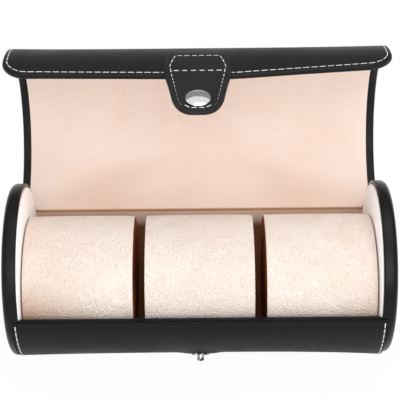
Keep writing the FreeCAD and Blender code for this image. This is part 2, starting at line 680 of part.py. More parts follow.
def cushions():
    seat = axisHeight - value(SOLE_LINING) + size("cushionSeatGap")
    top = axisHeight + size("troughRadius") - size("cushionSink")
    centre = (-size("cushionForward"), (top + seat) / 2)
    halfDepth = value(LINING_IN) - size("cushionForward") - size("cushionWallGap")
    halfHeight = (top - seat) / 2
    half = (innerLength - 2 * size("cushionGap") - 2 * size("cushionEndGap")) / 6
    draw = size("cushionEndDraw")
    wall = size("coverWall")
    card = size("cheekWall")
    # place along the pillow, and how much of the draw its outline has there
    stationShares = ((-1.0, 1.0), (-0.93, 0.35), (-0.6, 0.12), (0.0, 0.0),
                     (0.6, 0.12), (0.93, 0.35), (1.0, 1.0))
    pitch = 2 * half + size("cushionGap")
    for number in (1, 2, 3):
        middle = (number - 2) * pitch
        wires = [oval(halfDepth - share * draw, halfHeight - share * draw, centre, middle + place * half)
                 for place, share in stationShares]
        pillow = Part.makeLoft(wires, True, False)
        coreHalf = half - wall - card
        inner = (halfDepth - 2 * wall, halfHeight - 2 * wall)
        core = Part.makeLoft([oval(*inner, centre, middle + side * coreHalf) for side in (-1, 1)], True)
        cardOval = (halfDepth - 3 * wall, halfHeight - 3 * wall)
        cards = [Part.makeLoft([oval(*cardOval, centre, middle + side * coreHalf),
                                oval(*cardOval, centre, middle + side * (coreHalf + card))], True)
                 for side in (-1, 1)]
        cover = pillow.cut(core)
        for one in cards:
            cover = cover.cut(one)
        feature("cushion_cover_%d" % number, cover)
        feature("cushion_core_%d" % number, core)
        feature("cushion_cheeks_%d" % number, Part.makeCompound(cards))


tray()
endDiscs()
hinge()
lid()
snapStud()
tab()
cushions()
doc.recompute()

NODES = (
    "trough_cover", "trough_board", "trough_lining", "base_plate",
    "end_cover_left", "end_cover_right", "end_board_left", "end_board_right",
    "end_lining_left", "end_lining_right", "hinge_fold", "hinge_leaf_tray", "snap_stud", "stud_rivet",
    "lid_cover", "lid_board", "lid_lining", "lid_turned_edge", "hinge_leaf_lid", "tab_anchor", "tab_fold",
    "tab_leather", "tab_backing", "snap_cap", "snap_socket",
    "cushion_cover_1", "cushion_cover_2", "cushion_cover_3",
    "cushion_core_1", "cushion_core_2", "cushion_core_3",
    "cushion_cheeks_1", "cushion_cheeks_2", "cushion_cheeks_3")

for item in doc.Objects:
    if "Invalid" in item.State or "Error" in item.State:
        raise RuntimeError("%s failed: %s" % (item.Name, item.State))

os.makedirs("parts", exist_ok=True)
for name in NODES:
    item = doc.getObject(name)
    item.Label = name
    if item.Shape.isNull() or not item.Shape.isValid() or not item.Shape.Solids:
        raise RuntimeError("%s has no valid solid" % name)
    item.Shape.exportStep("parts/%s.step" % name)

print("pivot y %.3f z %.3f" % (pivot.y, pivot.z))
tabPivot = lidPlace.multVec(tabAxis)
print("tab fold y %.3f z %.3f" % (tabPivot.y, tabPivot.z))
print("%d parts written" % len(NODES))
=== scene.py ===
import bpy
import math
from mathutils import Matrix, Vector


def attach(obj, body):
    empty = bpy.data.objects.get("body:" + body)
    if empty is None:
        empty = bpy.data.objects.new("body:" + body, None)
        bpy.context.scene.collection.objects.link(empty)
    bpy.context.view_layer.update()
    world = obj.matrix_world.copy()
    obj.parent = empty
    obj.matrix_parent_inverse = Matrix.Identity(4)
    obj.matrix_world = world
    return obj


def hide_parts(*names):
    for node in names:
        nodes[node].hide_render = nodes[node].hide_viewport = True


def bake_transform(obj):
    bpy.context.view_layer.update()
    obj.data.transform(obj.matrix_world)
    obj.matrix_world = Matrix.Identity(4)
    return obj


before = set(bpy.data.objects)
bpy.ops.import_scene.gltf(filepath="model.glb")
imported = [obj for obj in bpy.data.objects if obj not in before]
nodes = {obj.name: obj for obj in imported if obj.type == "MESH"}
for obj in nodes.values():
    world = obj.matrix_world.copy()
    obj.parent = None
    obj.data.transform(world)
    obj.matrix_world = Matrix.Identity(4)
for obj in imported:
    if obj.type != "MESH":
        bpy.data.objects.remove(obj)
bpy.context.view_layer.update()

# Roll case for three watches, open, seen from the front and above.
# Lengths in the dictionaries are millimetres and angles degrees; the studio's lengths and the blends' places
# are metres. Angles run from the back, over the top, to the front.
mm = 0.001


# selecting and shaping by hand
def leaveEditing():
    if bpy.context.mode != "OBJECT":
        bpy.ops.object.mode_set(mode="OBJECT")


def deselectAll():
    leaveEditing()
    bpy.ops.object.select_all(action="DESELECT")


def activate(piece):
    deselectAll()
    piece.select_set(True)
    bpy.context.view_layer.objects.active = piece


def nameNew(name):
    piece = bpy.context.object
    bpy.ops.object.transform_apply(location=True, rotation=True, scale=True)
    piece.name = name
    piece.data.name = name
    return piece


def addPanel(name, low, high):
    # a flat board between two corners: x along the case, y along the bend, z through the thickness
    deselectAll()
    bpy.ops.mesh.primitive_cube_add(size=1, location=[(a + b) / 2 * mm for a, b in zip(low, high)])
    bpy.context.object.scale = [(b - a) * mm for a, b in zip(low, high)]
    return nameNew(name)


def addSheet(name, low, high):
    deselectAll()
    bpy.ops.mesh.primitive_plane_add(size=1, location=[(a + b) / 2 * mm for a, b in zip(low, high)] + [0])
    bpy.context.object.scale = [(b - a) * mm for a, b in zip(low, high)] + [1]
    return nameNew(name)


def addDisc(name, radius, low, high, height, points):
    deselectAll()
    bpy.ops.mesh.primitive_cylinder_add(vertices=points, radius=radius * mm, depth=(high - low) * mm,
                                        location=((low + high) / 2 * mm, 0, height * mm),
                                        rotation=(0, math.pi / 2, 0))
    return nameNew(name)


def pick(piece, kind, test):
    # selects points, edges or faces by where they are, in millimetres, and stays in edit mode
    bpy.context.view_layer.objects.active = piece
    if piece.mode != "EDIT":
        bpy.ops.object.mode_set(mode="EDIT")
    bpy.ops.mesh.select_mode(type=kind)
    bpy.ops.mesh.select_all(action="DESELECT")
    bpy.ops.object.mode_set(mode="OBJECT")
    mesh = piece.data
    if kind == "VERT":
        for point in mesh.vertices:
            point.select = bool(test(point.co / mm))
    elif kind == "EDGE":
        for edge in mesh.edges:
            first, second = [mesh.vertices[number].co / mm for number in edge.vertices]
            edge.select = bool(test(first, second))
    else:
        for face in mesh.polygons:
            face.select = bool(test(face.center / mm, face.normal))
    bpy.ops.object.mode_set(mode="EDIT")


def cutAt(piece, places, normal):
    if piece.mode != "EDIT":
        bpy.ops.object.mode_set(mode="EDIT")
    bpy.ops.mesh.select_mode(type="VERT")
    for place in places:
        bpy.ops.mesh.select_all(action="SELECT")
        bpy.ops.mesh.bisect(plane_co=[place * mm * part for part in normal], plane_no=normal)


def evenly(low, high, step):
    count = max(2, round((high - low) / step))
    return [low + (high - low) * number / count for number in range(1, count)]


def same(first, second):
    # equal within a hundredth of a millimetre
    return abs(first - second) < 0.01


def roundEdges(piece, radius, parts, test):
    pick(piece, "EDGE", test)
    bpy.ops.mesh.bevel(offset=radius * mm, segments=parts)


def roundCorners(piece, radius, parts, test):
    pick(piece, "VERT", test)
    bpy.ops.mesh.bevel(affect="VERTICES", offset=radius * mm, segments=parts)


def inset(width, depth=0.0):
    bpy.ops.mesh.inset(thickness=width * mm, depth=depth * mm)


def addModifier(piece, kind, **settings):
    activate(piece)
    modifier = piece.modifiers.new(kind, kind)
    for name, amount in settings.items():
        setattr(modifier, name, amount)
    bpy.ops.object.modifier_apply(modifier=modifier.name)


def movePoints(piece, rule):
    # rule takes and gives a point in millimetres
    leaveEditing()
    for point in piece.data.vertices:
        point.co = Vector(rule(point.co / mm)) * mm
    piece.data.update()


def outward(piece):
    pick(piece, "FACE", lambda middle, normal: True)
    bpy.ops.mesh.normals_make_consistent(inside=False)
    leaveEditing()


def smooth(piece, crease):
    # smooth, apart from edges sharper than the crease angle
    activate(piece)
    bpy.ops.object.shade_smooth_by_angle(angle=math.radians(crease))


def setWidths(piece, rows):
    # each row of a flat sheet's points goes out to its half width
    for place, half in rows:
        movePoints(piece, lambda at: (math.copysign(half, at.x), at.y, 0) if abs(at.y - place) < 0.1 else at)


def thicken(piece, wall, side):
    # makes the sheet one face with a wall above (side 1) or below (side -1)
    pick(piece, "FACE", lambda middle, normal: True)
    bpy.ops.mesh.dissolve_faces()
    addModifier(piece, "SOLIDIFY", thickness=wall * mm, offset=side)
    outward(piece)


def around(centre, radius, angle):
    turn = math.radians(angle)
    return centre[0] + radius * math.cos(turn), centre[1] + radius * math.sin(turn)


def between(value, low, high):
    # 0 up to low, 1 from high on, even between them
    return min(max((value - low) / (high - low), 0), 1)


# node materials
def toLinear(colour):
    parts = [int(colour[place:place + 2], 16) / 255 for place in (1, 3, 5)]
    return [part / 12.92 if part <= 0.04045 else ((part + 0.055) / 1.055) ** 2.4 for part in parts] + [1.0]


def addNode(tree, kind, sockets=None, **settings):
    node = tree.nodes.new(kind)
    for name, amount in settings.items():
        setattr(node, name, amount)
    for name, source in (sockets or {}).items():
        if isinstance(source, bpy.types.NodeSocket):
            tree.links.new(source, node.inputs[name])
        else:
            node.inputs[name].default_value = toLinear(source) if isinstance(source, str) else source
    return node


def startMaterial(name, roughness, **sockets):
    material = bpy.data.materials.new(name)
    material.use_nodes = True
    tree = material.node_tree
    shader = tree.nodes["Principled BSDF"]
    shader.inputs["Roughness"].default_value = roughness
    for socket, amount in sockets.items():
        shader.inputs[socket.replace("_", " ")].default_value = amount
    place = addNode(tree, "ShaderNodeTexCoord").outputs["Object"]
    return material, tree, shader, place


def mixColours(tree, factor, first, second):
    return addNode(tree, "ShaderNodeMix", {0: factor, 6: first, 7: second}, data_type="RGBA").outputs[2]


def maths(tree, operation, *sources):
    return addNode(tree, "ShaderNodeMath", dict(enumerate(sources)), operation=operation).outputs[0]


def ramp(tree, source, low, high, first=0.0, second=1.0):
    return addNode(tree, "ShaderNodeMapRange", {"Value": source, "From Min": low, "From Max": high,
                                               "To Min": first, "To Max": second}).outputs["Result"]


def vectorMaths(tree, operation, sockets):
    return addNode(tree, "ShaderNodeVectorMath", sockets, operation=operation).outputs[0]


def noise(tree, place, size, detail, roughness=0.5):
    # size is the width of one cloud in millimetres
    return addNode(tree, "ShaderNodeTexNoise", {"Vector": place, "Scale": 1 / (size * mm), "Detail": detail,
                                               "Roughness": roughness}).outputs


def cellDistance(tree, place, size, **settings):
    return addNode(tree, "ShaderNodeTexVoronoi", {"Vector": place, "Scale": 1 / (size * mm)},
                   **settings).outputs["Distance"]


def stretched(tree, place, scale):
    return addNode(tree, "ShaderNodeMapping", {"Vector": place, "Scale": scale}).outputs["Vector"]


def wobbled(tree, place, size, detail, reach):
    # moves each place a little, so that a regular pattern goes uneven
    shift = noise(tree, place, size, detail)["Color"]
    even = vectorMaths(tree, "SUBTRACT", {0: shift, 1: (0.5, 0.5, 0.5)})
    small = vectorMaths(tree, "SCALE", {0: even, "Scale": reach * mm})
    return vectorMaths(tree, "ADD", {0: place, 1: small})


def dress(tree, shader, colour, height, depth):
    tree.links.new(colour, shader.inputs["Base Color"])
    bump = addNode(tree, "ShaderNodeBump", {"Height": height, "Distance": depth * mm, "Strength": 1.0})
    tree.links.new(bump.outputs["Normal"], shader.inputs["Normal"])


def grainedLeather(name, colour, worn, grain, depth, roughness, shine=0.22):
    # calf leather plated with a fine pebble: matt face, soft sheen where it turns to the light
    material, tree, shader, place = startMaterial(name, roughness, Specular_IOR_Level=shine)
    moved = wobbled(tree, place, grain * 1.8, 2.0, grain * 0.7)
    pebbles = ramp(tree, cellDistance(tree, moved, grain, feature="DISTANCE_TO_EDGE"), 0.0, 0.22)
    # wide, faint clouds from the hide
    clouds = noise(tree, place, 22, 3.0)["Fac"]
    shade = mixColours(tree, ramp(tree, clouds, 0.35, 0.65, 0.0, 0.7), colour, worn)
    dark = mixColours(tree, ramp(tree, pebbles, 0.0, 1.0, 0.35, 0.0), shade, "#0c0c0d")
    rough = ramp(tree, clouds, 0.3, 0.7, roughness - 0.05, roughness + 0.07)
    tree.links.new(rough, shader.inputs["Roughness"])
    dress(tree, shader, dark, pebbles, depth)
    return material


def suedeLining(name, light, deep, nap, roughness, stretch=(1, 1, 1), bedShade=None, crease=None, sheen=0.25):
    # microfibre suede lining: even pale face with a short nap and a soft sheen at the edges
    material, tree, shader, place = startMaterial(name, roughness, Sheen_Weight=sheen, Sheen_Roughness=0.5,
                                                  Specular_IOR_Level=0.25)
    fibres = noise(tree, stretched(tree, place, stretch), nap, 4.0, 0.6)["Fac"]
    brushed = noise(tree, place, 18, 2.0)["Fac"]
    shade = mixColours(tree, ramp(tree, brushed, 0.35, 0.65), light, deep)
    speck = mixColours(tree, ramp(tree, fibres, 0.45, 0.75, 0.0, 0.22), shade, "#c9a58c")
    axes = addNode(tree, "ShaderNodeSeparateXYZ", {"Vector": place}).outputs
    if bedShade:
        # painted shade: low down, the bed under and between the pillows is painted dark brown, fading to the
        # pale rim
        speck = mixColours(tree, ramp(tree, axes["Z"], 0.034, 0.0405, 1.0, 0.0), speck, bedShade)
    if crease:
        # painted shadow: a soft darker band above the fold, reaching higher towards the middle and fainter at
        # the very middle
        aside = maths(tree, "DIVIDE", axes["X"], 0.092)
        square = maths(tree, "MULTIPLY", aside, aside)
        arch = maths(tree, "MULTIPLY_ADD", square, 0.013, axes["Z"])
        archShadow = maths(tree, "MULTIPLY", ramp(tree, arch, 0.0545, 0.0605, 0.5, 0.0),
                     ramp(tree, square, 0.03, 0.25, 0.3, 1.0))
        speck = mixColours(tree, archShadow, speck, "#dcbda8")
        # painted shade: the lining is darker towards both ends
        speck = mixColours(tree, ramp(tree, square, 0.3, 1.0, 0.0, 0.35), speck, "#dfc8ba")
        # painted shade: the fold line is painted brown, as the shade in the crease
        off = maths(tree, "ABSOLUTE", maths(tree, "SUBTRACT", axes["Y"], crease[0] * mm))
        low = ramp(tree, axes["Z"], (crease[1] + 0.5) * mm, (crease[1] + 1.5) * mm, 1.0, 0.0)
        creaseShade = maths(tree, "MULTIPLY", low, ramp(tree, off, 0.6 * mm, 1.4 * mm, 1.0, 0.0))
        speck = mixColours(tree, creaseShade, speck, "#a5744e")
    dress(tree, shader, speck, fibres, 0.05)
    return material


def pigskinSuede(name, light, deep, pit, pebble, sheen=0.3):
    # pigskin suede over foam: small raised pebbles drawn a little long from front to back, matt and warm
    material, tree, shader, place = startMaterial(name, 0.72, Sheen_Weight=sheen, Sheen_Roughness=0.55,
                                                  Specular_IOR_Level=0.22)
    moved = wobbled(tree, stretched(tree, place, (1.35, 0.8, 0.75)), pebble * 2, 3.0, pebble * 1.1)
    hollows = ramp(tree, cellDistance(tree, moved, pebble, feature="SMOOTH_F1"), 0.25, 0.75)
    clouds = noise(tree, place, 14, 4.0, 0.6)["Fac"]
    shade = mixColours(tree, ramp(tree, clouds, 0.3, 0.7), light, deep)
    # painted shade: darker and warmer towards the outer ends, most at the left end and lower down, and very
    # slightly all along the bottom
    axes = addNode(tree, "ShaderNodeSeparateXYZ", {"Vector": place}).outputs
    low = ramp(tree, axes["Z"], 0.041, 0.062)
    ends = maths(tree, "MAXIMUM", ramp(tree, axes["X"], -0.093, -0.045, 1.0, 0.0),
                 ramp(tree, axes["X"], 0.07, 0.093, 0.0, 0.5))
    ends = maths(tree, "MULTIPLY", ends, ramp(tree, low, 0.0, 1.0, 0.95, 0.15))
    paintedShade = maths(tree, "MAXIMUM", ends, ramp(tree, low, 0.0, 1.0, 0.04, 0.0))
    shade = mixColours(tree, paintedShade, shade, pit)
    pitted = mixColours(tree, ramp(tree, hollows, 0.0, 1.0, 0.0, 0.07), shade, pit)
    dress(tree, shader, pitted, maths(tree, "SUBTRACT", 1.0, hollows), 0.5)
    return material


def waxedThread(name, colour):
    # bonded polyester thread, three-ply: the plies show as slanted ridges
    material, tree, shader, place = startMaterial(name, 0.5, Sheen_Weight=0.15)
    plies = addNode(tree, "ShaderNodeTexWave", {"Vector": place, "Scale": 1 / (2.4 * mm), "Distortion": 0.4},
                    bands_direction="DIAGONAL").outputs["Fac"]
    dress(tree, shader, mixColours(tree, plies, "#b9b7b3", colour), plies, 0.05)
    return material


def platedSteel(name, dullOrReflected="#d2d3d5", blot=(0.0, 1.0), size=0.9):
    # pressed steel, plated and polished, with a very fine haze from handling, or with large dark blots
    # painted in as reflections
    material, tree, shader, place = startMaterial(name, 0.14, Metallic=1.0)
    haze = noise(tree, place, size, 5.0)["Fac"]
    tree.links.new(ramp(tree, haze, 0.3, 0.7, 0.05, 0.1), shader.inputs["Roughness"])
    dress(tree, shader, mixColours(tree, ramp(tree, haze, *blot), dullOrReflected, "#e6e6e6"), haze, 0.004)
    return material


def greyBoard(name):
    # bookbinder's board: grey pulp, calendered, with darker fibres a millimetre or two long
    material, tree, shader, place = startMaterial(name, 0.9)
    fibres = noise(tree, stretched(tree, place, (0.35, 1, 1)), 0.6, 5.0)["Fac"]
    dress(tree, shader, mixColours(tree, ramp(tree, fibres, 0.35, 0.7), "#8f8a80", "#b3ada1"), fibres, 0.06)
    return material


def fibrePanel(name):
    # medium density fibreboard, sanded: tan, even, fine specks
    material, tree, shader, place = startMaterial(name, 0.8)
    specks = noise(tree, place, 0.5, 6.0)["Fac"]
    dress(tree, shader, mixColours(tree, ramp(tree, specks, 0.35, 0.7), "#a98660", "#c6a57c"), specks, 0.03)
    return material


def openFoam(name):
    # cut polyurethane foam: cream, open cells of about a millimetre
    material, tree, shader, place = startMaterial(name, 0.95, Specular_IOR_Level=0.2)
    cells = cellDistance(tree, place, 1.1)
    dress(tree, shader, mixColours(tree, ramp(tree, cells, 0.2, 0.8), "#e9dfc2", "#c8ba93"), cells, 0.3)
    return material


# painted light and shade: one black leather, with the tab's copy painted a little lighter and the tray's and
# end discs' copies darker than the lid's, for how each part catches the light
leather = grainedLeather("calfLeatherPebbled", "#101011", "#161618", 0.8, 0.05, 0.42, 0.18)
tabLeather = grainedLeather("calfLeatherFineGrain", "#161618", "#1c1c1e", 0.6, 0.05, 0.36)
trayLeather = grainedLeather("calfLeatherTray", "#0d0d0f", "#131315", 0.8, 0.05, 0.42, 0.13)
beadLeather = grainedLeather("calfLeatherDrawn", "#060607", "#0a0a0b", 0.9, 0.03, 0.24, 0.17)
edgeLeather = grainedLeather("calfLeatherSkived", "#111112", "#171719", 0.8, 0.05, 0.42)
# painted shade: dark brown for the linings low down, where shade falls between and behind the pillows
bedShadeBrown, creaseAt = "#7a4a2c", (43.58, 44.5)
lidSuede = suedeLining("microfibreSuedeLid", "#f5e4da", "#f3dfd3", 0.5, 0.62, (1.8, 0.25, 0.25),
                       crease=creaseAt)
traySuede = suedeLining("microfibreSuedeTray", "#f3ddce", "#ecd3c2", 0.5, 0.7, bedShade=bedShadeBrown)
# painted light: the end discs' lining is painted whiter than the other linings, to brighten its shaded faces
discSuede = suedeLining("microfibreSuedeEnds", "#ffffff", "#fff6f3", 0.5, 0.62, sheen=0.6)
# painted light: the hinge lining is painted paler than the tray's, to brighten the shaded strip behind the
# pillows
hingeSuede = suedeLining("microfibreSuedeHinge", "#fff3e9", "#fae6d8", 0.45, 0.7, (0.12, 2.2, 2.2), bedShadeBrown,
                         creaseAt)
pillowSuede = pigskinSuede("pigskinSuedePillow", "#f1e4dc", "#eadacd", "#b88a68", 0.8)
# painted shade: the pillow cheeks are painted dark warm brown, as the shade in the narrow gaps between the
# pillows
cheekSuedePaintedShade = pigskinSuede("pigskinSuedeCheek", "#a8623a", "#965432", "#6e3a22", 0.75, 0.0)
thread = waxedThread("bondedThreadWhite", "#eeeeec")
steel = platedSteel("platedSteelPolished")
# painted reflection: dark blots on the stud stand for the dark surroundings it reflects
studSteelPaintedReflection = platedSteel("platedSteelPaintedReflection", "#39393b", (0.4, 0.62), 2.2)
board = greyBoard("bindersBoard")
panel = fibrePanel("densityFibreboard")
foam = openFoam("polyurethaneFoam")
print("materials made")


def finishPiece(piece, material, body, slot, *stands):
    # body is None where the piece blends between two
    piece.data.materials.clear()
    piece.data.materials.append(material)
    if body:
        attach(piece, body)
    if stands:
        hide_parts(*stands)
    print(piece.name, "ready,", len(piece.data.polygons), "faces")


# tray leather: turned over the front rim, flat under the sole
tray = {"radius": 46.6, "height": 41.0, "halfLength": 96.5, "leather": 1.2, "front": 174.05, "back": 364.3,
        "rimWall": 4.0, "rimTurn": 6.0, "rimRound": 1.2, "footRound": 0.4, "sideRound": 0.5, "creaseAt": 3.4,
        "creaseWidth": 0.7, "creaseSlope": 0.3, "creaseDepth": 0.16, "strip": 1.7, "column": 8.0,
        "waist": 0.8, "waistFrom": 185, "waistFull": 215, "flareLeft": 0.7, "flareRight": 1.8,
        "studAt": 222.24, "studSeat": 5.0, "studFade": 8.0}


def alongTray(angle):
    # how far an angle lies from the front rim, measured along the leather
    return math.radians(angle - tray["front"]) * tray["radius"]


trayReach = alongTray(tray["back"])


def ontoTray(point):
    angle = tray["front"] + math.degrees(point[1] / tray["radius"])
    radius = tray["radius"] - tray["rimWall"] + point[2]
    # the skin is drawn in between the end discs, behind as in front, and stands out a little over them
    low = between(min(angle, 540 - angle), tray["waistFrom"], tray["waistFull"])
    flare = tray["flareLeft"] if point[0] < 0 else tray["flareRight"]
    # a round pad fills it out under the stud, so that the stud's flange lies on it
    reach = math.hypot(point[0], math.radians(angle - tray["studAt"]) * tray["radius"])
    free = between(reach, tray["studSeat"], tray["studSeat"] + tray["studFade"])
    drawn = tray["waist"] * free * free * (3 - 2 * free)
    radius += low * (flare * abs(point[0] / tray["halfLength"]) ** 3 - drawn)
    y, z = around((0, tray["height"]), radius, angle)
    return point[0], y, max(z, tray["rimWall"] - point[2])


def makeTrayLeather():
    half, wall, top, turn = tray["halfLength"], tray["leather"], tray["rimWall"], tray["rimTurn"]
    piece = addPanel("trayLeather", (-half, 0, top - wall), (half, trayReach, top))
    cutAt(piece, [turn], (0, 1, 0))
    pick(piece, "FACE", lambda middle, normal: normal.z < -0.9 and middle.y < turn)
    bpy.ops.mesh.extrude_region_move(TRANSFORM_OT_translate={"value": (0, 0, (wall - top) * mm)})
    roundEdges(piece, tray["rimRound"], 5, lambda a, b: max(a.y, b.y) < 0.01 and same(a.z, b.z))
    roundEdges(piece, tray["footRound"], 2, lambda a, b: same(a.y, turn) and same(b.y, turn)
               and max(a.z, b.z) < 0.01)
    roundEdges(piece, tray["sideRound"], 3, lambda a, b: same(abs(a.x), half) and same(a.x, b.x)
               and min(a.z, b.z) > top - 0.01)
    # the crease behind the rim
    first, last, slope = tray["creaseAt"], tray["creaseAt"] + tray["creaseWidth"], tray["creaseSlope"]
    deepest = (first + last) / 2
    cutAt(piece, [first - slope, deepest, last + slope], (0, 1, 0))
    pick(piece, "VERT", lambda at: abs(at.y - deepest) < 0.02 and at.z > top - 0.3)
    bpy.ops.transform.translate(value=(0, 0, -tray["creaseDepth"] * mm))
    cutAt(piece, evenly(turn + 0.8, trayReach, tray["strip"]), (0, 1, 0))
    pad = [tray["studSeat"] + tray["studFade"] * share for share in (0, 0.33, 0.67, 1)]
    pad = [side * place for side in (-1, 1) for place in pad]
    cutAt(piece, evenly(2 - half, half - 2, tray["column"]) + pad, (1, 0, 0))
    movePoints(piece, ontoTray)
    outward(piece)
    smooth(piece, 40)
    finishPiece(piece, trayLeather, "tray", "leather", "trough_cover")


makeTrayLeather()

# tray lining: the pale bed the pillows sit in, flat on the floor
lining = {"radius": 43.4, "wall": 0.72, "halfLength": 92.7, "front": 180.5, "back": 364.0, "sole": 34.8,
          "round": 0.3, "strip": 1.7}


def makeTrayLining():
    reach = math.radians(lining["back"] - lining["front"]) * lining["radius"]
    half = lining["halfLength"]
    piece = addPanel("trayLining", (-half, 0, -lining["wall"]), (half, reach, 0))
    roundEdges(piece, lining["round"], 2, lambda a, b: max(a.z, b.z) < -0.5 and same(a.y, b.y))
    cutAt(piece, evenly(0.5, reach, lining["strip"]), (0, 1, 0))

    def place(point):
        y, z = around((0, tray["height"]), lining["radius"] + point[2],
                      lining["front"] + math.degrees(point[1] / lining["radius"]))
        return point[0], y, max(z, tray["height"] - lining["sole"] - point[2])
    movePoints(piece, place)
    outward(piece)
    smooth(piece, 40)
    finishPiece(piece, traySuede, "tray", "lining", "trough_lining")


makeTrayLining()

# end discs: leather caps over board, each with a lined face towards the pillows
disc = {"radius": 46.3, "tucked": 44.9, "outside": 100.8, "inside": 92.8, "round": 3.1, "innerRound": 1.5,
        "rim": 2.1, "recess": 0.9, "foot": 0.05, "sole": 1.25, "skirt": 96.7, "fold": 0.15,
        "rimFront": 174.2, "rimBack": 4.3, "points": 144, "faceInset": 5.0, "faceSink": 0.35, "lineIn": 0.8,
        "lineOut": 1.2, "liningRadius": 44.15, "liningWall": 1.15, "liningRound": 0.7, "liningFoot": 2.5,
        "liningRing": 7.5, "liningRings": 5, "liningSwell": 0.25}


def makeEndCap(side, word):
    low, high = sorted((side * disc["inside"], side * disc["outside"]))
    piece = addDisc("endCap" + word, disc["radius"], low, high, tray["height"], disc["points"])
    cutAt(piece, [disc["foot"]], (0, 0, 1))
    pick(piece, "VERT", lambda at: at.z < disc["foot"] - 0.02)
    bpy.ops.mesh.delete(type="VERT")
    pick(piece, "EDGE", lambda a, b: max(a.z, b.z) < disc["foot"] + 0.02)
    bpy.ops.mesh.edge_face_add()
    pick(piece, "FACE", lambda middle, normal: normal.x * side < -0.9)
    inset(disc["rim"], -disc["recess"])
    # a shallow panel line round the outer face, where the leather is drawn over the padded edge
    pick(piece, "FACE", lambda middle, normal: normal.x * side > 0.9)
    inset(disc["faceInset"])
    inset(disc["lineIn"], -disc["faceSink"])
    inset(disc["lineOut"], disc["faceSink"])
    # a full round outside, where the leather is drawn over, and a smaller one towards the pillows
    for at, radius, parts in ((disc["outside"], disc["round"], 7), (disc["inside"], disc["innerRound"], 4)):
        roundEdges(piece, radius, parts, lambda a, b: all(
            same(end.x, side * at) and end.z > disc["foot"] + 0.1
            and math.hypot(end.y, end.z - tray["height"]) > disc["radius"] - 0.05 for end in (a, b)))
    cutAt(piece, [side * (disc["skirt"] + fold) for fold in (-disc["fold"], disc["fold"])], (1, 0, 0))

    def tuck(point):
        # below the tray's rims the cap slips inside the tray's leather, up to the round past its end
        y, z = point[1], point[2] - tray["height"]
        radius, angle = math.hypot(y, z), math.degrees(math.atan2(z, y))
        covered = disc["rimFront"] - 360 < angle < disc["rimBack"] and abs(point[0]) < disc["skirt"]
        if covered and radius > disc["tucked"]:
            y, z = y * disc["tucked"] / radius, z * disc["tucked"] / radius
        return point[0], y, max(z + tray["height"], disc["sole"] if covered else disc["foot"])
    movePoints(piece, tuck)
    outward(piece)
    smooth(piece, 30)
    finishPiece(piece, beadLeather, "tray", "leather", "end_cover_" + word.lower())


def makeDiscLining(side, word):
    reach = disc["inside"] + disc["recess"] + 0.1
    low, high = sorted((side * reach, side * (reach - disc["liningWall"])))
    piece = addDisc("discLining" + word, disc["liningRadius"], low, high, tray["height"], 96)
    roundEdges(piece, disc["liningRound"], 3, lambda a, b: same(a.x, b.x) and a.x * side < reach - 0.5)
    # rings, so that the lined board swells a little to the middle
    pick(piece, "FACE", lambda middle, normal: normal.x * side < -0.99)
    for number in range(disc["liningRings"]):
        inset(disc["liningRing"])

    def swell(point):
        share = min(1.0, math.hypot(point[1], point[2] - tray["height"]) / disc["liningRadius"])
        lift = disc["liningSwell"] * (1 - share ** 3) if point[0] * side < reach - 0.5 else 0
        return point[0] - side * lift, point[1], max(point[2], disc["liningFoot"])
    movePoints(piece, swell)
    outward(piece)
    smooth(piece, 30)
    finishPiece(piece, discSuede, "tray", "lining", "end_lining_" + word.lower())


for side, word in ((-1, "Left"), (1, "Right")):
    makeEndCap(side, word)
    makeDiscLining(side, word)

# lid leather: one skin over the board, turned in all round
lid = {"centre": (44.538, 92.598), "inner": 47.0, "outer": 50.4, "start": -86.3, "lip": 101.2,
       "halfLength": 101.8, "corner": 13.0, "edgeRound": 1.4, "turned": 4.5, "turnedAtHinge": 1.5,
       "sink": 0.45, "sinkSlope": 0.25, "strip": 1.8, "column": 8.0, "flare": 0.6, "curlLeft": 1.7,
       "curlRight": 7.4, "curlFrom": 20, "curlReach": 80}
lidWall = lid["outer"] - lid["inner"]
lidReach = math.radians(lid["lip"] - lid["start"]) * lid["outer"]


def curlBack(x, share):
    # the lip has curled back towards its ends, more at the right one
    left = between(-x, 0, lid["curlReach"])
    right = between(x, lid["curlFrom"], lid["curlFrom"] + lid["curlReach"])
    return (lid["curlLeft"] * left ** 0.85 + lid["curlRight"] * right ** 0.95) * max(share, 0) ** 3


def ontoLid(point):
    angle = lid["start"] + math.degrees((point[1] - curlBack(point[0], point[1] / lidReach)) / lid["outer"])
    # the outside is padded up a little at both ends
    swell = lid["flare"] * abs(point[0] / lid["halfLength"]) ** 4 * (point[2] / lidWall)
    return (point[0],) + around(lid["centre"], lid["inner"] + point[2] + swell, angle)


def roundLip(piece, reach, radius):
    roundCorners(piece, radius, 8, lambda at: at.y > reach - 0.1)


def makeLidLeather():
    half = lid["halfLength"]
    piece = addSheet("lidLeather", (-half, 0), (half, lidReach))
    roundLip(piece, lidReach, lid["corner"])
    addModifier(piece, "SOLIDIFY", thickness=lidWall * mm, offset=1.0)
    outward(piece)
    roundEdges(piece, lid["edgeRound"], 4, lambda a, b: same(a.z, b.z))
    # the turned-in edge stands round the lining's bed, and is narrower at the hinge
    pick(piece, "FACE", lambda middle, normal: normal.z < -0.99)
    inset(lid["turned"] - lid["edgeRound"])
    inset(lid["sinkSlope"], -lid["sink"])
    movePoints(piece, lambda at: (at.x, lid["turnedAtHinge"], at.z) if 4 < at.y < 5.2 and at.z < 1.2 else at)
    cutAt(piece, evenly(0, lidReach, lid["strip"]), (0, 1, 0))
    cutAt(piece, evenly(5 - half, half - 5, lid["column"]), (1, 0, 0))
    movePoints(piece, ontoLid)
    outward(piece)
    smooth(piece, 40)
    finishPiece(piece, leather, "lid", "leather", "lid_cover", "lid_turned_edge", "lid_board")


makeLidLeather()

